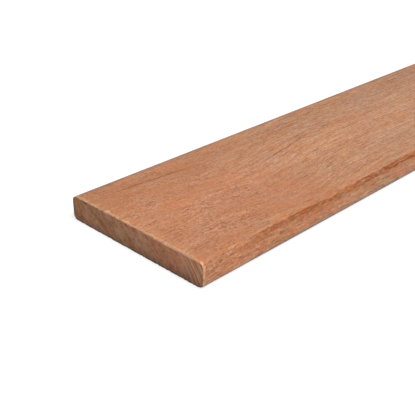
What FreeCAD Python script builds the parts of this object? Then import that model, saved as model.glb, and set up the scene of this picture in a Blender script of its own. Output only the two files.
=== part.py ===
"""A hardwood decking board: one length of solid timber, planed on all four sides, with its
four long edges rounded over, sawn square at both ends and the sawn arrises eased.

The board lies flat on its underside. X runs along the grain, Y across the width and Z up
through the thickness. The origin is at the middle of the underside. Sizes are in millimetres.
"""

import FreeCAD
import Part
import enum
import math
import os
import Sketcher

NODE = "decking_board"

# Driving dimensions. The planed section is the nominal 21 x 145 mm one.
SIZES = {
    "length": 1850.0,
    "width": 145.0,
    "thickness": 21.0,
    "top_edge_radius": 5.0,
    "bottom_edge_radius": 5.0,
    "end_arris_radius": 0.8,
}


class Point(enum.IntEnum):
    """Which end of a sketch line or arc a constraint takes hold of."""

    START = 1
    END = 2


class Axis(enum.IntEnum):
    """The sketch's own axes, as constraints name them."""

    ACROSS = -1
    UP = -2


def add_sizes(doc):
    """The sheet that holds every driving dimension under its own name."""
    sheet = doc.addObject("Spreadsheet::Sheet", "sizes")
    for row, (name, value) in enumerate(SIZES.items(), start=1):
        sheet.set(f"A{row}", name)
        sheet.set(f"B{row}", str(value))
        sheet.setAlias(f"B{row}", name)
    doc.recompute()
    return sheet


def round_edge(across, up, radius, first_angle):
    """A quarter round of the section, turning anticlockwise from first_angle, in degrees."""
    circle = Part.Circle(FreeCAD.Vector(across, up, 0), FreeCAD.Vector(0, 0, 1), radius)
    begin = math.radians(first_angle)
    return Part.ArcOfCircle(circle, begin, begin + math.pi / 2)


def flat_side(across_from, up_from, across_to, up_to):
    """A planed flat of the section."""
    return Part.LineSegment(
        FreeCAD.Vector(across_from, up_from, 0), FreeCAD.Vector(across_to, up_to, 0)
    )


def draw_section(body, sheet):
    """The planed section: four flats joined by tangent quarter rounds, seen along the grain."""
    sketch = body.newObject("Sketcher::SketchObject", "section")
    plane = next(f for f in body.Origin.OriginFeatures if f.Role == "YZ_Plane")
    sketch.AttachmentSupport = [(plane, "")]
    sketch.MapMode = "FlatFace"

    side = sheet.width / 2
    top = sheet.thickness
    high = sheet.top_edge_radius
    low = sheet.bottom_edge_radius
    outline = [
        flat_side(low - side, 0, side - low, 0),
        round_edge(side - low, low, low, -90),
        flat_side(side, low, side, top - high),
        round_edge(side - high, top - high, high, 0),
        flat_side(side - high, top, high - side, top),
        round_edge(high - side, top - high, high, 90),
        flat_side(-side, top - high, -side, low),
        round_edge(low - side, low, low, 180),
    ]
    sketch.addGeometry(outline, False)
    underside, low_right, right, high_right, face, high_left, left, low_left = range(len(outline))

    for piece in range(len(outline)):
        following = (piece + 1) % len(outline)
        sketch.addConstraint(Sketcher.Constraint("Tangent", piece, Point.END, following, Point.START))
    for upright in (right, left):
        sketch.addConstraint(Sketcher.Constraint("Vertical", upright))
    sketch.addConstraint(Sketcher.Constraint("Horizontal", face))
    sketch.addConstraint(Sketcher.Constraint("PointOnObject", underside, Point.START, Axis.ACROSS))
    sketch.addConstraint(
        Sketcher.Constraint("Symmetric", underside, Point.START, underside, Point.END, Axis.UP)
    )
    sketch.addConstraint(Sketcher.Constraint("Equal", low_right, low_left))
    sketch.addConstraint(Sketcher.Constraint("Equal", high_right, high_left))

    driven = {
        "width": Sketcher.Constraint("DistanceX", left, Point.END, right, Point.START, sheet.width),
        "thickness": Sketcher.Constraint("DistanceY", underside, Point.END, face, Point.START, top),
        "top_edge_radius": Sketcher.Constraint("Radius", high_right, high),
        "bottom_edge_radius": Sketcher.Constraint("Radius", low_right, low),
    }
    for name, constraint in driven.items():
        index = sketch.addConstraint(constraint)
        sketch.renameConstraint(index, name)
        sketch.setExpression(f"Constraints.{name}", f"{sheet.Name}.{name}")
    return sketch


def plane_to_length(body, sheet, section):
    """The section run along the grain, half the length to each side of the middle."""
    run = body.newObject("PartDesign::Pad", "planed_length")
    run.Profile = section
    run.SideType = "Symmetric"
    run.setExpression("Length", f"{sheet.Name}.length")
    return run


def ease_sawn_ends(body, sheet, run):
    """The sharp arris that the crosscut leaves round each end, rubbed to a small radius."""
    end_edges = []
    for number, edge in enumerate(run.Shape.Edges, start=1):
        box = edge.BoundBox
        if box.XLength < Part.Precision.confusion():
            end_edges.append(f"Edge{number}")
    eased = body.newObject("PartDesign::Fillet", "eased_ends")
    eased.Base = (run, end_edges)
    eased.setExpression("Radius", f"{sheet.Name}.end_arris_radius")
    return eased


def check(doc, parts):
    """Stops the build if any object failed or any finished piece isn't one sound solid."""
    failed = [o.Name for o in doc.Objects if {"Invalid", "Error"} & set(o.State)]
    if failed:
        raise RuntimeError(f"these objects failed to build: {failed}")
    for part in parts:
        shape = part.Shape
        if shape.isNull() or not shape.isValid() or len(shape.Solids) != 1:
            raise RuntimeError(f"{part.Label} is not one sound solid")


doc = FreeCAD.newDocument("decking")
sizes = add_sizes(doc)

board = doc.addObject("PartDesign::Body", NODE)
board.Label = NODE
section = draw_section(board, sizes)
run = plane_to_length(board, sizes, section)
doc.recompute()
ease_sawn_ends(board, sizes, run)
doc.recompute()

check(doc, [board])
os.makedirs("parts", exist_ok=True)
board.Shape.exportStep(os.path.join("parts", f"{board.Label}.step"))

box = board.Shape.optimalBoundingBox()
print(f"{board.Label}: {box.XLength:.1f} x {box.YLength:.1f} x {box.ZLength:.1f} mm,"
      f" {board.Shape.Volume / 1e6:.4f} litres, section fully set: {section.FullyConstrained}")
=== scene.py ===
import math

import bmesh
import bpy
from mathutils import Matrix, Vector


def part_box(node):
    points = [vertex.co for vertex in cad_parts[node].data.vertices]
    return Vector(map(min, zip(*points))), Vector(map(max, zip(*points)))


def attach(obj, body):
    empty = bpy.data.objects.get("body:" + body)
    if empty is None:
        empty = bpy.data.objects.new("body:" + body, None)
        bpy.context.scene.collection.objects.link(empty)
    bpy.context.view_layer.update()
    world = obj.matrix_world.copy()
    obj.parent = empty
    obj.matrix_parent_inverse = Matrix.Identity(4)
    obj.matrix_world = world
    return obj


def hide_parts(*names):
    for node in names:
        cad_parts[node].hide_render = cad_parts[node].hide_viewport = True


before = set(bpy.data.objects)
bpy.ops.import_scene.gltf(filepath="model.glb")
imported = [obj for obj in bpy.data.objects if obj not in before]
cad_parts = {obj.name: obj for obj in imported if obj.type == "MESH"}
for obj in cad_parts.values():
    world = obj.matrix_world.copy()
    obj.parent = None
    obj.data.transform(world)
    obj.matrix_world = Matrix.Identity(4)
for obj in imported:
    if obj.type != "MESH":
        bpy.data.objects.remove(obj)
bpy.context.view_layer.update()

# The board
# One length of dense tropical hardwood, planed on all four sides by shaped knives that also
# round its long edges, then crosscut square. It is a single piece of stock, fixed to nothing.
mm = 0.001
NODE = "decking_board"
PLANED, SAWN = 0, 1
ALONG, ACROSS, UP = 0, 1, 2
low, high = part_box(NODE)
middle = (low + high) / 2
length = high.x - low.x
edge_round = 5 * mm
edge_steps = 12
arris = 0.8 * mm
arris_steps = 4
slack = 0.08 * mm

# How far a normal leans along the board on a sawn face, and along its axis on a flat one
sawn_lean = 0.7
flat_facing = 0.99

# How closely the mesh is cut: strips across the faces, levels up the sides, and places along the
# length, which lie closest by the ends
strip = 1.5 * mm
level = 1.1 * mm
cuts_from_end = (2 * mm, 3.5 * mm, 6 * mm, 10 * mm, 18 * mm, 32 * mm, 60 * mm)
long_step = 50 * mm


def pick(kind, test):
    """Selects the vertices or edges of the piece in edit mode that pass a test."""
    bpy.ops.mesh.select_mode(type={"verts": "VERT", "edges": "EDGE"}[kind])
    bpy.ops.mesh.select_all(action="DESELECT")
    mesh = bpy.context.edit_object.data
    for part in getattr(bmesh.from_edit_mesh(mesh), kind):
        part.select_set(test(part))
    bmesh.update_edit_mesh(mesh)


def along_board(edge):
    """True for an edge that runs the length of the board."""
    first, last = (vertex.co.x for vertex in edge.verts)
    return abs(first - last) > length / 2


def round_an_end(edge):
    """True for an edge of the outline of either sawn end."""
    ways = [abs(vertex.co.x - middle.x) for vertex in edge.verts]
    return min(ways) > length / 2 - slack and not along_board(edge)


def on_arris(vertex):
    """True for a point of the eased arris, leaving out those of the flat sawn end."""
    return abs(vertex.co.x) > high.x - arris - slack and abs(vertex.normal.x) < flat_facing


def slice_board(axis, places):
    """Cuts the whole mesh across one axis at each of these places."""
    facing = Vector((0, 0, 0))
    facing[axis] = 1
    for place in places:
        bpy.ops.mesh.select_all(action="SELECT")
        bpy.ops.mesh.bisect(plane_co=facing * place, plane_no=facing)


def steps_between(first, last, step):
    """Evenly spaced places strictly between two others, at about this step."""
    count = round((last - first) / step)
    return [first + (last - first) * i / count for i in range(1, count)]


bpy.ops.object.select_all(action="DESELECT")
bpy.ops.mesh.primitive_cube_add(size=1, calc_uvs=False, location=middle, scale=high - low)
board = bpy.context.object
board.name = "board"
bpy.ops.object.transform_apply(location=True, rotation=True, scale=True)

bpy.ops.object.mode_set(mode="EDIT")
pick("edges", along_board)
bpy.ops.mesh.bevel(offset=edge_round, segments=edge_steps, profile=0.5, affect="EDGES")
pick("edges", round_an_end)
bpy.ops.mesh.bevel(offset=arris, segments=arris_steps, profile=0.5, affect="EDGES")
for cut in cuts_from_end:
    slice_board(ALONG, (low.x + cut, high.x - cut))
last_cut = cuts_from_end[-1]
slice_board(ALONG, steps_between(low.x + last_cut, high.x - last_cut, long_step) + [middle.x])
slice_board(ACROSS, steps_between(low.y + edge_round, high.y - edge_round, strip))
slice_board(UP, steps_between(low.z + edge_round, high.z - edge_round, level))
bpy.ops.object.mode_set(mode="OBJECT")
for face in board.data.polygons:
    face.material_index = PLANED if abs(face.normal.x) < sawn_lean else SAWN

# Nicks that the saw has left along the arrises, always inwards from the planed size
nick_size = 2.5 * mm
nick_depth = 0.6 * mm
nick_contrast = 3
nick_strength = 0.7
smooth_below = math.radians(35)
bpy.ops.object.vertex_group_add()
board.vertex_groups[-1].name = "sawn_arrises"
bpy.ops.object.mode_set(mode="EDIT")
pick("verts", on_arris)
bpy.ops.object.vertex_group_assign()
bpy.ops.object.mode_set(mode="OBJECT")
bpy.ops.object.modifier_add(type="DISPLACE")
nicks = board.modifiers[-1]
nicks.texture = bpy.data.textures.new("saw_nicks", type="CLOUDS")
nicks.texture.noise_scale = nick_size
nicks.texture.use_clamp = True
nicks.texture.contrast = nick_contrast
nicks.texture.intensity = nick_strength
nicks.texture_coords = "LOCAL"
nicks.vertex_group = "sawn_arrises"
nicks.mid_level = 0
nicks.strength = -nick_depth
bpy.ops.object.modifier_apply(modifier=nicks.name)
bpy.ops.object.shade_smooth_by_angle(angle=smooth_below)

# The board laid open on a square map, for its finish to be baked on. Each half of the length has
# a strip for the walking face with both sides, and a closer one for the underside. The ends share
# the last strip.
half_flat = high.y - edge_round
upper_centre = high.z - edge_round
lower_centre = low.z + edge_round
half_girth = half_flat + math.pi * edge_round + upper_centre - lower_centre
map_gap = 0.004
face_share = 0.368
underside_share = 0.1
end_share = 0.04
end_width = (1 - 3 * map_gap) / 2


def girth(corner):
    """The way round the section from the middle of the walking face, minus on the near side."""
    past = max(abs(corner.y) - half_flat, 0)
    if corner.z > upper_centre:
        turn = math.atan2(past, corner.z - upper_centre)
        way = min(abs(corner.y), half_flat) + edge_round * turn
    else:
        down = min(upper_centre - corner.z, upper_centre - lower_centre)
        turn = math.atan2(max(lower_centre - corner.z, 0), past)
        way = half_flat + edge_round * (math.pi / 2 + turn) + down
    return math.copysign(way, corner.y)


def lay_out(value, first, last, start, share):
    """The place on a stretch of the map of a value between the first and the last."""
    return start + share * (value - first) / (last - first)


bake_map = board.data.uv_layers.new(name="OFBake")
for face in board.data.polygons:
    far_half = face.center.x > middle.x
    half_start = middle.x if far_half else low.x
    end_start = map_gap + far_half * (end_width + map_gap)
    face_start = map_gap + far_half * (face_share + map_gap)
    underside_start = 3 * map_gap + 2 * face_share + far_half * (underside_share + map_gap)
    for loop in face.loop_indices:
        corner = board.data.vertices[board.data.loops[loop].vertex_index].co
        u = lay_out(corner.x, half_start, half_start + length / 2, map_gap, 1 - 2 * map_gap)
        if abs(face.center.x) > high.x - arris:
            u = lay_out(corner.y, low.y, high.y, end_start, end_width)
            v = lay_out(corner.z, low.z, high.z, 1 - map_gap - end_share, end_share)
        elif face.normal.z < -flat_facing and abs(face.center.y) < half_flat:
            v = lay_out(corner.y, -half_flat, half_flat, underside_start, underside_share)
        else:
            v = lay_out(girth(corner), -half_girth, half_girth, face_start, face_share)
        bake_map.data[loop].uv = (u, v)


# Planed hardwood
# A dense reddish-brown heartwood straight off the planer: matt, salmon coloured, with fine dark
# pore lines along the grain, soft lengthwise bands and one dark gum streak along the near edge.
def linear(code):
    """An sRGB hex colour as the linear one that a shader takes."""
    parts = [int(code[i:i + 2], 16) / 255 for i in (1, 3, 5)]
    return [c / 12.92 if c <= 0.04045 else ((c + 0.055) / 1.055) ** 2.4 for c in parts] + [1]


def add_node(tree, kind, feeds=(), **settings):
    """Adds one shader node with its settings, feeds its sockets, and returns its first output."""
    made = tree.nodes.new(f"ShaderNode{kind}")
    for name, value in settings.items():
        setattr(made, name, value)
    sockets = {socket.identifier: socket for socket in made.inputs}
    for name, value in dict(feeds).items():
        if isinstance(value, bpy.types.NodeSocket):
            tree.links.new(value, sockets[name])
        else:
            sockets[name].default_value = value
    return next(output for output in made.outputs if output.enabled)


def start_material(name):
    """A new material, its node tree and its one surface shader."""
    material = bpy.data.materials.new(name)
    material.use_nodes = True
    tree = material.node_tree
    return material, tree, tree.nodes["Principled BSDF"]


def grow(tree):
    """The place in the board, the same with the grain's wander, and the distance from the pith."""
    pith = (0, 100 * mm, -90 * mm)
    slow_bend, slow_reach = (380 * mm, 2000 * mm, 2000 * mm), (0, 24 * mm, 20 * mm)
    swirl, swirl_reach = (90 * mm, 22 * mm, 22 * mm), (0, 4 * mm, 3 * mm)
    dip_at, dip_half, dip_reach = low.x + 125 * mm, 65 * mm, (0, 12 * mm, 0)
    noise_middle = (0.5, 0.5, 0.5)
    square_to_grain = (0, 1, 1)
    place = add_node(tree, "TexCoord").node.outputs["Object"]
    grown = place
    for size, reach in ((slow_bend, slow_reach), (swirl, swirl_reach)):
        at = add_node(tree, "VectorMath", {"Vector": place, "Vector_001": size}, operation="DIVIDE")
        noise = add_node(tree, "TexNoise", {"Vector": at, "Scale": 1, "Detail": 1})
        centred = add_node(tree, "VectorMath", {
            "Vector": noise.node.outputs["Color"], "Vector_001": noise_middle},
            operation="SUBTRACT")
        grown = add_node(tree, "VectorMath", {
            "Vector": centred, "Vector_001": reach, "Vector_002": grown},
            operation="MULTIPLY_ADD")

    # One smooth dip, e to the minus square of the way from its middle
    along = add_node(tree, "SeparateXYZ", {"Vector": place}).node.outputs["X"]
    dip = add_node(tree, "MapRange", {
        "Value": along, "From Min": dip_at, "From Max": dip_at + dip_half}, clamp=False)
    dip = add_node(tree, "Math", {"Value": dip, "Value_001": 2}, operation="POWER")
    dip = add_node(tree, "Math", {"Value": math.exp(-1), "Value_001": dip}, operation="POWER")
    dip = add_node(tree, "VectorMath", {"Vector": dip_reach, "Scale": dip}, operation="SCALE")
    grown = add_node(tree, "VectorMath", {"Vector": grown, "Vector_001": dip}, operation="ADD")

    outward = add_node(tree, "VectorMath", {
        "Vector": grown, "Vector_001": pith}, operation="SUBTRACT")
    outward = add_node(tree, "VectorMath", {
        "Vector": outward, "Vector_001": square_to_grain}, operation="MULTIPLY")
    radius = add_node(tree, "VectorMath", {"Vector": outward}, operation="LENGTH")
    return place, grown, radius


def figure(tree, where, size, levels=(0.3, 0.7), depth=1, detail=2):
    """Wood figure in soft patches of this size: 0 to depth between two levels of a noise."""
    at = add_node(tree, "VectorMath", {"Vector": where, "Vector_001": size}, operation="DIVIDE")
    noise = add_node(tree, "TexNoise", {"Vector": at, "Scale": 1, "Detail": detail})
    return add_node(tree, "MapRange", {
        "Value": noise, "From Min": levels[0], "From Max": levels[1], "To Max": depth})


def growth_layers(tree, place, radius, thick, levels=(0.3, 0.7)):
    """Growth layers of this thickness, which hold their tone for a hand's length of grain."""
    apart = add_node(tree, "SeparateXYZ", {"Vector": place}).node.outputs
    at = add_node(tree, "CombineXYZ", {"X": radius, "Y": apart["X"], "Z": apart["Y"]})
    return figure(tree, at, (thick, 130 * mm, 60 * mm), levels, detail=3)


def sum_up(tree, patterns):
    """One pattern from several, each with its share of the whole."""
    total = 0
    for pattern, share in patterns:
        total = add_node(tree, "Math", {
            "Value": pattern, "Value_001": share, "Value_002": total}, operation="MULTIPLY_ADD")
    return total


planed, tree, shader = start_material("planed_hardwood")
place, grown, radius = grow(tree)
apart = add_node(tree, "SeparateXYZ", {"Vector": place}).node.outputs

# A figure that is this large in one direction doesn't change in it.
even = 9000 * mm

# Tone: mottle of the interlocked grain by the near end, and fibre lines further along, which are
# drawn over 1 mm wide, coarser than the real ones, so that they show
dark_fibre, pale_fibre = linear("#8a2e04"), linear("#efc099")
mid_tone = 0.5
mottle = sum_up(tree, (
    (figure(tree, grown, (1.8 * mm, 1.1 * mm, 1.1 * mm), (0.35, 0.65)), 0.34),
    (figure(tree, grown, (2.6 * mm, 1.6 * mm, 1.6 * mm), (0.32, 0.68)), 0.32),
    (figure(tree, grown, (9 * mm, 1.9 * mm, 1.9 * mm), (0.32, 0.68)), 0.2),
    (figure(tree, grown, (40 * mm, 5 * mm, 5 * mm), (0.32, 0.68)), 0.14),
))
lines = sum_up(tree, (
    (growth_layers(tree, place, radius, 1.7 * mm), 0.2),
    (figure(tree, grown, (45 * mm, 1.6 * mm, 1.6 * mm), (0.35, 0.65)), 0.22),
    (figure(tree, grown, (11 * mm, 1.6 * mm, 1.6 * mm), (0.35, 0.65)), 0.24),
    (figure(tree, grown, (3.2 * mm, 1.5 * mm, 1.5 * mm), (0.35, 0.65)), 0.34),
    (figure(tree, grown, (60 * mm, 1.2 * mm, 1.2 * mm), (0.55, 0.7)), 0.16),
))
lined = add_node(tree, "MapRange", {
    "Value": apart["X"], "From Min": low.x + 40 * mm, "From Max": low.x + 230 * mm,
    "To Min": 0.1, "To Max": 0.75}, interpolation_type="SMOOTHSTEP")
fibres = add_node(tree, "Mix", {"Factor_Float": lined, "A_Float": mottle, "B_Float": lines})
calmest = add_node(tree, "MapRange", {
    "Value": apart["X"], "From Min": low.x + 100 * mm, "From Max": low.x + 190 * mm,
    "To Min": 0.6, "To Max": 0.1})
calm = figure(tree, grown, (60 * mm, 22 * mm, 22 * mm), (0.4, 0.65), calmest)
tone = add_node(tree, "Mix", {"Factor_Float": calm, "A_Float": fibres, "B_Float": mid_tone})
colour = add_node(tree, "Mix", {
    "Factor_Float": tone, "A_Color": dark_fibre, "B_Color": pale_fibre}, data_type="RGBA")

# Pore lines: sparse thin dark dashes along the grain
pore_brown = linear("#8a4f2c")
pores = figure(tree, grown, (22 * mm, 1.1 * mm, 1.1 * mm), (0.57, 0.75), 0.5)
colour = add_node(tree, "Mix", {
    "Factor_Float": pores, "A_Color": colour, "B_Color": pore_brown}, data_type="RGBA")

# Hue: patches from lilac brown to orange and towards olive, all of it redder by the near end and
# again in long stretches further along. A tint is what red, green and blue are multiplied by.
lilac_tint, orange_tint = (0.97, 1, 1.11, 1), (1.04, 0.87, 0.72, 1)
olive_tint = (0.95, 1, 0.93, 1)
red_tint, plain_tint = (0.99, 0.9, 0.84, 1), (0.98, 1, 1, 1)
warm = sum_up(tree, (
    (figure(tree, grown, (60 * mm, 24 * mm, 24 * mm)), 0.5),
    (figure(tree, grown, (15 * mm, 7 * mm, 7 * mm)), 0.5),
))
warmth = add_node(tree, "Mix", {
    "Factor_Float": warm, "A_Color": lilac_tint, "B_Color": orange_tint}, data_type="RGBA")
olive = figure(tree, grown, (13 * mm, 6 * mm, 6 * mm))
unseen = add_node(tree, "MapRange", {
    "Value": apart["X"], "From Min": low.x + 480 * mm, "From Max": low.x + 650 * mm,
    "To Max": 0.8})
back = figure(tree, place, (300 * mm, 80 * mm, 80 * mm), (0.45, 0.65), unseen)
beyond = add_node(tree, "MapRange", {
    "Value": apart["X"], "From Min": low.x + 100 * mm, "From Max": low.x + 185 * mm},
    interpolation_type="SMOOTHSTEP")
beyond = add_node(tree, "Math", {
    "Value": beyond, "Value_001": back}, operation="SUBTRACT", use_clamp=True)
redness = add_node(tree, "Mix", {
    "Factor_Float": beyond, "A_Color": red_tint, "B_Color": plain_tint}, data_type="RGBA")
for share, tint in ((1, warmth), (olive, olive_tint), (1, redness)):
    colour = add_node(tree, "Mix", {
        "Factor_Float": share, "A_Color": colour, "B_Color": tint},
        data_type="RGBA", blend_type="MULTIPLY")

# The tone deepens towards the far edge and, less, towards the near one, and is lighter on the
# sides, most by the end. Away from the near end it turns a little greyer.
grey_tint = (0.9, 0.935, 0.965, 1)
side_share = add_node(tree, "MapRange", {
    "Value": apart["X"], "From Min": low.x + 40 * mm, "From Max": low.x + 90 * mm,
    "To Min": 1.12, "To Max": 1.02})
for axis, start, stop, share in (
        ("Y", 3 * mm, 55 * mm, 0.83),
        ("Y", -5 * mm, -25 * mm, 0.945),
        ("Y", -56 * mm, -67 * mm, 0.92),
        ("Z", high.z - 2 * mm, high.z - 5 * mm, side_share)):
    deeper = add_node(tree, "MapRange", {
        "Value": apart[axis], "From Min": start, "From Max": stop, "To Min": 1, "To Max": share})
    colour = add_node(tree, "VectorMath", {"Vector": colour, "Scale": deeper}, operation="SCALE")
greyer = add_node(tree, "MapRange", {
    "Value": apart["X"], "From Min": low.x + 200 * mm, "From Max": low.x + 420 * mm})
greyer = add_node(tree, "Math", {
    "Value": greyer, "Value_001": back}, operation="SUBTRACT", use_clamp=True)
colour = add_node(tree, "Mix", {
    "Factor_Float": greyer, "A_Color": colour, "B_Color": grey_tint},
    data_type="RGBA", blend_type="MULTIPLY")

# Torn dashes: the sides are planed less cleanly than the faces, so their fibres show more
dimmest, palest = (
    add_node(tree, "MapRange", {
        "Value": apart["Z"], "From Min": high.z - 2.5 * mm, "From Max": high.z - 5 * mm,
        "To Min": 1, "To Max": share})
    for share in (0.815, 1.185))
for size in (8 * mm, 1.6 * mm, 1.6 * mm), (3.5 * mm, 1.4 * mm, 1.4 * mm):
    torn = figure(tree, place, size, (0.35, 0.65))
    torn = add_node(tree, "Mix", {"Factor_Float": torn, "A_Float": dimmest, "B_Float": palest})
    colour = add_node(tree, "VectorMath", {"Vector": colour, "Scale": torn}, operation="SCALE")

# Straw, pink and orange patches, where the rounded edges and the saw have cut across the grain
straw, dull_straw = linear("#cba877"), linear("#c9a06e")
pink, orange = linear("#cf7a5c"), linear("#d67a42")
sideward = add_node(tree, "Math", {"Value": apart["Y"]}, operation="ABSOLUTE")
endward = add_node(tree, "Math", {"Value": apart["X"]}, operation="ABSOLUTE")
freest = add_node(tree, "MapRange", {
    "Value": endward, "From Min": high.x - 45 * mm, "From Max": high.x - 15 * mm,
    "To Min": 0.6, "To Max": 0.3})
edgeward = add_node(tree, "MapRange", {
    "Value": sideward, "From Min": high.y - 16 * mm, "From Max": high.y - 7 * mm,
    "To Max": freest})
upmost = add_node(tree, "MapRange", {
    "Value": apart["Z"], "From Min": high.z - 3 * mm, "From Max": high.z - 1 * mm,
    "To Min": 0.2, "To Max": 0.85})
by_end = add_node(tree, "MapRange", {
    "Value": endward, "From Min": high.x - 10 * mm, "From Max": high.x - 2 * mm,
    "To Max": upmost})
edgeward = add_node(tree, "Math", {"Value": edgeward, "Value_001": by_end}, operation="MAXIMUM")
for size, depth, shade in (
        ((14 * mm, 2.6 * mm, 2.6 * mm), 0.7, straw),
        ((55 * mm, 2.2 * mm, 2.2 * mm), 0.8, dull_straw),
        ((13 * mm, 3 * mm, 3 * mm), 1, pink),
        ((9 * mm, 2.8 * mm, 2.8 * mm), 1, orange)):
    patch = figure(tree, place, size, (0.52, 0.7), depth)
    patch = add_node(tree, "Math", {"Value": patch, "Value_001": edgeward}, operation="MULTIPLY")
    colour = add_node(tree, "Mix", {
        "Factor_Float": patch, "A_Color": colour, "B_Color": shade}, data_type="RGBA")

# Dark veins: two thin gum lines that slant across the near end of the walking face. Each is given
# by its two ends, as the distance from the near end and from the middle of the board.
vein_brown = linear("#7a4a2a")
vein_half = 1.3 * mm
vein_sway = 3 * mm
for start, end in (
        ((147 * mm, 8 * mm), (231 * mm, 22 * mm)),
        ((22 * mm, 53 * mm), (103 * mm, 45 * mm))):
    start = Vector((low.x + start[0], start[1], 0))
    end = Vector((low.x + end[0], end[1], 0))
    half_run = (end - start).length / 2
    run = (end - start).normalized()
    square_to_run = (-run.y, run.x, 0)
    from_start = add_node(tree, "VectorMath", {
        "Vector": place, "Vector_001": start}, operation="SUBTRACT")
    forth = add_node(tree, "VectorMath", {
        "Vector": from_start, "Vector_001": run}, operation="DOT_PRODUCT")
    aside = add_node(tree, "VectorMath", {
        "Vector": from_start, "Vector_001": square_to_run}, operation="DOT_PRODUCT")
    sway = figure(tree, place, (14 * mm, even, even), (0.2, 0.8), vein_sway, detail=3)
    aside = add_node(tree, "Math", {"Value": aside, "Value_001": sway}, operation="ADD")
    aside = add_node(tree, "Math", {
        "Value": aside, "Value_001": vein_sway / 2}, operation="SUBTRACT")
    aside = add_node(tree, "Math", {"Value": aside}, operation="ABSOLUTE")
    thin = add_node(tree, "MapRange", {
        "Value": aside, "From Max": vein_half, "To Min": 1, "To Max": 0})
    to_middle = add_node(tree, "Math", {
        "Value": forth, "Value_001": half_run}, operation="SUBTRACT")
    to_middle = add_node(tree, "Math", {"Value": to_middle}, operation="ABSOLUTE")
    faded = add_node(tree, "MapRange", {
        "Value": to_middle, "From Min": half_run / 2, "From Max": half_run,
        "To Min": 0.9, "To Max": 0})
    parted = figure(tree, place, (9 * mm, 4 * mm, even), (0.25, 0.5))
    vein = thin
    for share in (faded, parted):
        vein = add_node(tree, "Math", {"Value": vein, "Value_001": share}, operation="MULTIPLY")
    colour = add_node(tree, "Mix", {
        "Factor_Float": vein, "A_Color": colour, "B_Color": vein_brown}, data_type="RGBA")

# Gum streak: ragged orange brown strands that the rounding of the near upper edge has laid bare.
# turn is the angle round that edge, from 0 on the walking face to 90 degrees on the side.
gum_orange, gum_brown = linear("#ae5d25"), linear("#763604")
round_middle = (0, low.y + edge_round, high.z - edge_round)
from_round = add_node(tree, "VectorMath", {
    "Vector": place, "Vector_001": round_middle}, operation="SUBTRACT")
from_round = add_node(tree, "SeparateXYZ", {"Vector": from_round}).node.outputs
outward = add_node(tree, "Math", {
    "Value": from_round["Y"], "Value_001": -1}, operation="MULTIPLY")
turn = add_node(tree, "Math", {
    "Value": outward, "Value_001": from_round["Z"]}, operation="ARCTAN2")
drop = add_node(tree, "MapRange", {
    "Value": apart["X"], "From Min": low.x + 25 * mm, "From Max": low.x + 60 * mm,
    "To Min": math.radians(14), "To Max": 0})
rise = add_node(tree, "MapRange", {
    "Value": apart["X"], "From Min": low.x + 150 * mm, "From Max": low.x + 200 * mm,
    "To Max": math.radians(-6)})
wobble = figure(tree, place, (26 * mm, even, even), (0.2, 0.8), math.radians(12), detail=3)
ragged = figure(tree, place, (6 * mm, 1.2 * mm, 1.2 * mm), (0.25, 0.75), math.radians(16))
for shift in (drop, rise, wobble, ragged):
    turn = add_node(tree, "Math", {"Value": turn, "Value_001": shift}, operation="SUBTRACT")
closer = add_node(tree, "MapRange", {
    "Value": apart["X"], "From Min": low.x + 85 * mm, "From Max": low.x + 125 * mm,
    "To Min": 1, "To Max": 0.8})
turn = add_node(tree, "Math", {"Value": turn, "Value_001": closer}, operation="MULTIPLY")

# It starts a little way from the near end, grows stronger along the board, all but stops at one
# short gap, and comes and goes past the part that the photograph shows.
gap_at = low.x + 167 * mm
strong = add_node(tree, "MapRange", {
    "Value": apart["X"], "From Min": low.x + 35 * mm, "From Max": low.x + 220 * mm,
    "To Min": 0.63, "To Max": 0.86})
starting = add_node(tree, "MapRange", {
    "Value": apart["X"], "From Min": low.x + 35 * mm, "From Max": low.x + 64 * mm,
    "To Min": 0.2, "To Max": 1})
gap = add_node(tree, "Math", {"Value": apart["X"], "Value_001": gap_at}, operation="SUBTRACT")
gap = add_node(tree, "Math", {"Value": gap}, operation="ABSOLUTE")
gap = add_node(tree, "MapRange", {
    "Value": gap, "From Min": 6 * mm, "From Max": 20 * mm, "To Min": 0.85})
waning = figure(tree, place, (170 * mm, even, even), (0.4, 0.55), unseen)
lasting = add_node(tree, "Math", {"Value": 1, "Value_001": waning}, operation="SUBTRACT")
for share in (starting, gap, lasting):
    strong = add_node(tree, "Math", {"Value": strong, "Value_001": share}, operation="MULTIPLY")

# The strands and dashes use a stretch of noise whose dashes fall about where the real ones do.
streak_stretch = (240 * mm, 0, 0)
in_streak = add_node(tree, "VectorMath", {
    "Vector": place, "Vector_001": streak_stretch}, operation="ADD")
strands = figure(tree, in_streak, (18 * mm, 1.6 * mm, 1.6 * mm), (0.3, 0.6))
dashes = figure(tree, in_streak, (19 * mm, 1.5 * mm, 1.5 * mm), (0.36, 0.5), detail=4)
flecks = figure(tree, place, (5 * mm, 1.1 * mm, 1.1 * mm), (0.25, 0.55))
dashes = add_node(tree, "Math", {"Value": dashes, "Value_001": flecks}, operation="MULTIPLY")
for upper, full, fading, lower, depth, shade, parting in (
        (4, 16, 50, 95, 0.75, gum_orange, strands),
        (8, 15, 46, 66, 1, gum_brown, dashes)):
    above = add_node(tree, "MapRange", {
        "Value": turn, "From Min": math.radians(upper), "From Max": math.radians(full),
        "To Max": depth})
    below = add_node(tree, "MapRange", {
        "Value": turn, "From Min": math.radians(fading), "From Max": math.radians(lower),
        "To Min": 1, "To Max": 0})
    stain = above
    for share in (below, strong, parting):
        stain = add_node(tree, "Math", {"Value": stain, "Value_001": share}, operation="MULTIPLY")
    colour = add_node(tree, "Mix", {
        "Factor_Float": stain, "A_Color": colour, "B_Color": shade}, data_type="RGBA")

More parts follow.
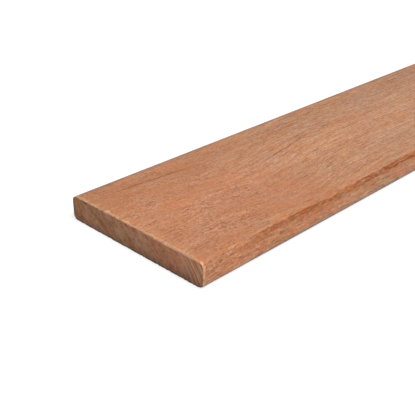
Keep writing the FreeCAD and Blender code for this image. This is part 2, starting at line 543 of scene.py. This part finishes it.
# Painted shade on the edges: the far upper edge, the far end of the sawn arris and, away from the
# near end, the near lower edge are painted greyer and darker, as shade where they turn from the
# light
far_brink_shade = add_node(tree, "MapRange", {
    "Value": apart["Y"], "From Min": high.y - 8.5 * mm, "From Max": high.y - 6 * mm})
crest = add_node(tree, "MapRange", {
    "Value": apart["Z"], "From Min": high.z - 3 * mm, "From Max": high.z - 1.2 * mm})
tip = add_node(tree, "MapRange", {
    "Value": endward, "From Min": high.x - 1.2 * mm, "From Max": high.x - 0.5 * mm})
crest = add_node(tree, "Math", {"Value": crest, "Value_001": tip}, operation="MAXIMUM")
far_brink_shade = add_node(tree, "Math", {"Value": far_brink_shade, "Value_001": crest}, operation="MULTIPLY")
low_skirt_shade_share = add_node(tree, "MapRange", {
    "Value": apart["X"], "From Min": low.x + 20 * mm, "From Max": low.x + 90 * mm,
    "To Min": 0.25, "To Max": 0.85})
low_skirt_shade = add_node(tree, "MapRange", {
    "Value": apart["Z"], "From Min": low.z + 7 * mm, "From Max": low.z + 2.5 * mm,
    "To Max": low_skirt_shade_share})
outer = add_node(tree, "MapRange", {
    "Value": apart["Y"], "From Min": low.y + 4 * mm, "From Max": low.y + 2 * mm})
low_skirt_shade = add_node(tree, "Math", {"Value": low_skirt_shade, "Value_001": outer}, operation="MULTIPLY")
painted_edge_shade = add_node(tree, "Math", {"Value": far_brink_shade, "Value_001": low_skirt_shade}, operation="MAXIMUM")
uneven = figure(tree, place, (11 * mm, 4 * mm, 4 * mm), (0.25, 0.5), 0.4)
uneven = add_node(tree, "Math", {"Value": uneven, "Value_001": 0.5}, operation="ADD")
seen_shade_share = add_node(tree, "Math", {
    "Value": unseen, "Value_001": -0.8, "Value_002": 1}, operation="MULTIPLY_ADD")
for share in (uneven, seen_shade_share):
    painted_edge_shade = add_node(tree, "Math", {"Value": painted_edge_shade, "Value_001": share}, operation="MULTIPLY")
colour = add_node(tree, "HueSaturation", {
    "Fac": painted_edge_shade, "Color": colour, "Hue": 0.506, "Saturation": 0.66, "Value": 0.64})

# Worn arris: beside the end the sawn fibres are raised and pale, with gaps, palest on the near
# side and rubbed off on the arris itself
rubbed_pale, near_pale = linear("#d8a985"), linear("#e6b893")
nibbled = figure(tree, place, (5 * mm, 3.3 * mm, 3.3 * mm), (0.3, 0.7), 3.2 * mm, detail=3)
end_gap = add_node(tree, "Math", {"Value": endward, "Value_001": nibbled}, operation="ADD")
nearer = add_node(tree, "MapRange", {
    "Value": apart["Y"], "From Min": low.y + 8 * mm, "From Max": low.y + 1 * mm})
kept = figure(tree, place, (3 * mm, 4.2 * mm, 4.2 * mm), (0.38, 0.6), 0.75)
kept = add_node(tree, "Math", {"Value": kept, "Value_001": 0.15}, operation="ADD")
raised = add_node(tree, "MapRange", {
    "Value": apart["Z"], "From Min": low.z + 7 * mm, "From Max": low.z + 13 * mm,
    "To Min": 0.4, "To Max": 0.92})
rubbed = add_node(tree, "MapRange", {
    "Value": endward, "From Min": high.x - 0.6 * mm, "From Max": high.x - 0.15 * mm,
    "To Min": 1, "To Max": 0.3})
for share in (raised, rubbed):
    kept = add_node(tree, "Math", {"Value": kept, "Value_001": share}, operation="MULTIPLY")
worn = add_node(tree, "MapRange", {
    "Value": end_gap, "From Min": high.x - 1.3 * mm, "From Max": high.x - 0.3 * mm,
    "To Max": kept})
pale = add_node(tree, "Mix", {
    "Factor_Float": nearer, "A_Color": rubbed_pale, "B_Color": near_pale}, data_type="RGBA")
colour = add_node(tree, "Mix", {
    "Factor_Float": worn, "A_Color": colour, "B_Color": pale}, data_type="RGBA")

# Dark notches where the saw has pulled fibres out of the arris, fewer towards the near side
notch_brown = linear("#80543a")
deepest = add_node(tree, "MapRange", {
    "Value": apart["Y"], "From Min": low.y + 15 * mm, "From Max": low.y + 60 * mm,
    "To Min": 0.4, "To Max": 0.85})
pulled = figure(tree, place, (3 * mm, 2.6 * mm, 2.6 * mm), (0.42, 0.58), deepest)
at_arris = add_node(tree, "MapRange", {
    "Value": endward, "From Min": high.x - 1.1 * mm, "From Max": high.x - 0.3 * mm})
notched = add_node(tree, "Math", {"Value": pulled, "Value_001": at_arris}, operation="MULTIPLY")
colour = add_node(tree, "Mix", {
    "Factor_Float": notched, "A_Color": colour, "B_Color": notch_brown}, data_type="RGBA")

tree.links.new(colour, shader.inputs["Base Color"])
shine = add_node(tree, "MapRange", {"Value": fibres, "To Min": 0.8, "To Max": 0.6})
tree.links.new(shine, shader.inputs["Roughness"])
relief = add_node(tree, "Bump", {"Height": fibres, "Strength": 0.4, "Distance": 0.15 * mm})
tree.links.new(relief, shader.inputs["Normal"])
shader.inputs["IOR"].default_value = 1.5
shader.inputs["Specular IOR Level"].default_value = 0.3
board.data.materials.append(planed)

# Sawn end grain
# The crosscut ends show the vessels end on: a darker, browner and rougher surface than the planed
# faces, with the growth layers as slanting arcs, closest by the near corner.
sawn, tree, shader = start_material("sawn_end_grain")
place, grown, radius = grow(tree)
apart = add_node(tree, "SeparateXYZ", {"Vector": place}).node.outputs
dark_layer, pale_layer = linear("#5f3417"), linear("#dea986")
tone = sum_up(tree, (
    (growth_layers(tree, place, radius, 1.5 * mm), 0.22),
    (growth_layers(tree, place, radius, 6 * mm), 0.1),
    (figure(tree, place, (20 * mm, 9 * mm, 9 * mm)), 0.18),
    (figure(tree, place, (20 * mm, 3.5 * mm, 3.5 * mm)), 0.2),
    (figure(tree, place, (20 * mm, 1.4 * mm, 1.4 * mm)), 0.16),
    (figure(tree, place, (20 * mm, 0.8 * mm, 0.8 * mm), (0.35, 0.65)), 0.16),
))
cornered = add_node(tree, "MapRange", {
    "Value": apart["Y"], "From Min": low.y + 19 * mm, "From Max": low.y + 12 * mm,
    "To Max": 0.7})
close_layers = growth_layers(tree, place, radius, 0.9 * mm, (0.37, 0.63))
tone = add_node(tree, "Mix", {"Factor_Float": cornered, "A_Float": tone, "B_Float": close_layers})
colour = add_node(tree, "Mix", {
    "Factor_Float": tone, "A_Color": dark_layer, "B_Color": pale_layer}, data_type="RGBA")

# Hue: red patches, most of them on the near half, olive and lilac ones all over, and an orange
# far edge
red_middle, red_half = -37 * mm, 30 * mm
end_red, end_olive = (1.04, 0.85, 0.83, 1), (0.97, 1, 0.84, 1)
end_lilac, end_orange = (0.97, 0.98, 1.14, 1), (1.1, 0.97, 0.8, 1)
reddest = add_node(tree, "MapRange", {
    "Value": apart["Y"], "From Min": red_middle, "From Max": red_middle + red_half}, clamp=False)
reddest = add_node(tree, "Math", {"Value": reddest}, operation="ABSOLUTE")
reddest = add_node(tree, "MapRange", {
    "Value": reddest, "To Min": 0.6, "To Max": 0}, interpolation_type="SMOOTHSTEP")
red = figure(tree, place, (40 * mm, 10 * mm, 8 * mm), (0.42, 0.6), 0.8)
red = add_node(tree, "Math", {
    "Value": red, "Value_001": reddest}, operation="ADD", use_clamp=True)
olive = figure(tree, place, (33 * mm, 7 * mm, 7 * mm), (0.42, 0.6))
lilac = figure(tree, place, (27 * mm, 11 * mm, 8 * mm), (0.48, 0.62))
orange = add_node(tree, "MapRange", {
    "Value": apart["Y"], "From Min": high.y - 13 * mm, "From Max": high.y - 6 * mm})
for share, tint in (
        (red, end_red), (olive, end_olive), (lilac, end_lilac), (orange, end_orange)):
    colour = add_node(tree, "Mix", {
        "Factor_Float": share, "A_Color": colour, "B_Color": tint},
        data_type="RGBA", blend_type="MULTIPLY")

# Painted light and shade: the end is painted lighter towards the near side and the top, where
# more light falls, and darker low down and along its outline, where shade falls
nearness = add_node(tree, "MapRange", {
    "Value": apart["Y"], "From Min": high.y, "From Max": low.y})
upper = add_node(tree, "MapRange", {
    "Value": apart["Z"], "From Min": low.z + 2 * mm, "From Max": low.z + 15 * mm,
    "To Max": 0.36})
painted_end_light = add_node(tree, "Math", {
    "Value": nearness, "Value_001": upper, "Value_002": 0.85}, operation="MULTIPLY_ADD")
lower = add_node(tree, "MapRange", {
    "Value": apart["Z"], "From Min": low.z, "From Max": low.z + 8 * mm,
    "To Min": 0.74, "To Max": 1})
shaded = add_node(tree, "MapRange", {
    "Value": apart["Z"], "From Min": high.z - 4 * mm, "From Max": high.z - 1 * mm,
    "To Min": 1, "To Max": 0.88})
painted_rim_shade = add_node(tree, "MapRange", {
    "Value": apart["Y"], "From Min": low.y + 3 * mm, "From Max": low.y + 1 * mm,
    "To Min": 1, "To Max": 0.88})
for share in (painted_end_light, lower, shaded, painted_rim_shade):
    colour = add_node(tree, "VectorMath", {"Vector": colour, "Scale": share}, operation="SCALE")

# Worn arris: towards the near side the pale rubbed fibres reach a little way down the end
from_near = add_node(tree, "MapRange", {
    "Value": apart["Y"], "From Min": low.y + 4 * mm, "From Max": low.y + 9 * mm})
until_middle = add_node(tree, "MapRange", {
    "Value": apart["Y"], "From Min": low.y + 54 * mm, "From Max": low.y + 42 * mm})
patchy = figure(tree, place, (23 * mm, 4.5 * mm, 4.5 * mm), (0.2, 0.5), 0.9)
worn = add_node(tree, "MapRange", {
    "Value": apart["Z"], "From Min": high.z - 1.2 * mm, "From Max": high.z - 0.5 * mm})
for share in (from_near, until_middle, patchy):
    worn = add_node(tree, "Math", {"Value": worn, "Value_001": share}, operation="MULTIPLY")
colour = add_node(tree, "Mix", {
    "Factor_Float": worn, "A_Color": colour, "B_Color": rubbed_pale}, data_type="RGBA")

# Painted shade along the lower and the far edge of the end, where it turns away from the light
low_edge_painted_shade, far_edge_painted_shade = linear("#4b3e36"), linear("#74625a")
lowest = add_node(tree, "MapRange", {
    "Value": apart["Z"], "From Min": low.z + 2.2 * mm, "From Max": low.z + 0.7 * mm,
    "To Max": 0.7})
furthest = add_node(tree, "MapRange", {
    "Value": apart["Y"], "From Min": high.y - 5 * mm, "From Max": high.y - 1.5 * mm,
    "To Max": 0.75})
for share, shade in ((lowest, low_edge_painted_shade), (furthest, far_edge_painted_shade)):
    colour = add_node(tree, "Mix", {
        "Factor_Float": share, "A_Color": colour, "B_Color": shade}, data_type="RGBA")

tree.links.new(colour, shader.inputs["Base Color"])
rough = add_node(tree, "MapRange", {"Value": tone, "To Min": 0.95, "To Max": 0.8})
tree.links.new(rough, shader.inputs["Roughness"])
relief = add_node(tree, "Bump", {"Height": tone, "Strength": 0.8, "Distance": 0.2 * mm})
tree.links.new(relief, shader.inputs["Normal"])
shader.inputs["IOR"].default_value = 1.5
shader.inputs["Specular IOR Level"].default_value = 0.2
board.data.materials.append(sawn)

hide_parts(NODE)
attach(board, "root")

# The floor
# A plain white floor, wide enough to fill the view. To the camera and in reflections it adds a
# white of its own, so that it reads as white where no shadow falls, and it keeps the shadow of
# the board.
floor_size = 12
floor_gap = 0.05 * mm
floor_glow = 0.68
bpy.ops.object.select_all(action="DESELECT")
bpy.ops.mesh.primitive_plane_add(size=floor_size, location=(0, 0, low.z - floor_gap))
floor = bpy.context.object
floor.name = "floor"
paper, tree, shader = start_material("white_paper")
paths = add_node(tree, "LightPath").node.outputs
seen = 0
for path in ("Is Camera Ray", "Is Glossy Ray", "Is Transmission Ray"):
    seen = add_node(tree, "Math", {"Value": paths[path], "Value_001": seen}, operation="ADD")
tree.links.new(seen, shader.inputs["Emission Strength"])
shader.inputs["Emission Color"].default_value = (floor_glow, floor_glow, floor_glow, 1)
shader.inputs["Base Color"].default_value = linear("#b4b4b4")
shader.inputs["Specular IOR Level"].default_value = 0
shader.inputs["Roughness"].default_value = 1
floor.data.materials.append(paper)

# The light
# One broad soft lamp from the camera's right and above lights the face and the near side, and a
# white surround, brighter on the camera's side, fills the shade. Together they show a colour about
# as it is written.
scene = bpy.context.scene
sky_part = 0.45
lamp_part = 0.55
sky_slope = 0.8
camera_side = (-0.7, -0.7, 0)
lamp_from = Vector((0.05, -0.5, 0.86)).normalized()
lamp_spread = math.radians(40)
bpy.ops.object.light_add(type="SUN", location=lamp_from)
lamp = bpy.context.object
lamp.name = "soft_lamp"
lamp.rotation_euler = lamp_from.to_track_quat("Z", "Y").to_euler()
lamp.data.energy = lamp_part * math.pi / lamp_from.z
lamp.data.angle = lamp_spread

scene.world = bpy.data.worlds.new("white_surround")
scene.world.use_nodes = True
tree = scene.world.node_tree
paths = add_node(tree, "LightPath").node.outputs
outlook = add_node(tree, "TexCoord")
facing = add_node(tree, "VectorMath", {
    "Vector": outlook, "Vector_001": camera_side}, operation="DOT_PRODUCT")
shown = add_node(tree, "Math", {
    "Value": facing, "Value_001": sky_part * sky_slope, "Value_002": sky_part},
    operation="MULTIPLY_ADD")
for path in ("Is Camera Ray", "Is Glossy Ray", "Is Transmission Ray"):
    shown = add_node(tree, "Math", {"Value": paths[path], "Value_001": shown}, operation="MAXIMUM")
tree.links.new(shown, tree.nodes["Background"].inputs["Strength"])
tree.nodes["Background"].inputs["Color"].default_value = linear("#ffffff")

# The camera
# It looks down along the board from beyond its near end, at 45 degrees to its length. The places
# come from a fit of the board's outlines in the photograph, in pixels of its 415 x 415 frame.
near_corner = low
camera_at = near_corner + Vector((-309.0, -312.7, 292.0)) * mm
yaw = math.radians(44.95)
pitch = math.radians(27.49)
frame_pixels = 415
focal_pixels = 778.1
film_width = 36
nearest_seen = 10 * mm
level_way = math.cos(pitch)
forward = Vector((math.cos(yaw) * level_way, math.sin(yaw) * level_way, -math.sin(pitch)))
turned = forward.to_track_quat("-Z", "Y").to_euler()
bpy.ops.object.camera_add(location=camera_at, rotation=turned)
camera = bpy.context.object
camera.name = "camera"
camera.data.sensor_width = film_width
camera.data.lens = film_width * focal_pixels / frame_pixels
camera.data.clip_start = nearest_seen
scene.camera = camera
scene.view_settings.view_transform = "Standard"
